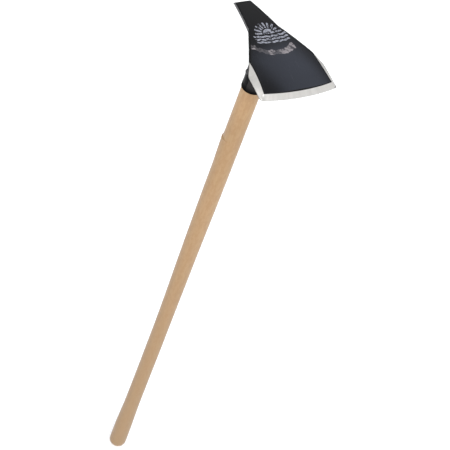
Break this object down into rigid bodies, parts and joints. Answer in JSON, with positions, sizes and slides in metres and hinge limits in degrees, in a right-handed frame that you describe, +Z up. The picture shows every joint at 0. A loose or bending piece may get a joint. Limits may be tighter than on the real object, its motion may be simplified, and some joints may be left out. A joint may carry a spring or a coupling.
{
  "type": "grub hoe",
  "caption": "Heavy grub hoe: a dished, ground steel blade welded over a tube socket, on a long straight ash handle held by a cross bolt.",
  "frame": {"origin": "centre of the flat on the handle's butt end", "axes": "+Z up the handle from its butt end to the head; -Y the way the digging edge points, +Y the narrow tail; +X to the right as seen facing the digging edge with the head up; the YZ plane is the plane of symmetry apart from the cross bolt and the handle's one proud side"},
  "size_m": [0.1798, 0.2518, 1.2414],
  "materials": {
    "painted_plate": "satin black paint over steel plate, with bare ground steel along the blade's sides, its digging edge and the tail's end, and a worn pale print",
    "painted_tube": "satin black paint over drawn steel tube",
    "painted_weld": "satin black paint over a rippled weld",
    "ash_wood": "turned and sanded pale ash, thinly sealed",
    "fastener_steel": "black oxide steel, slightly oiled"
  },
  "bodies": {
    "root": {"blade": "painted_plate", "socket": "painted_tube", "weld_bead": "painted_weld", "handle": "ash_wood", "cross_bolt": "fastener_steel", "bolt_washer": "fastener_steel", "nut_washer": "fastener_steel", "lock_nut": "fastener_steel"}
  },
  "joints": []
}
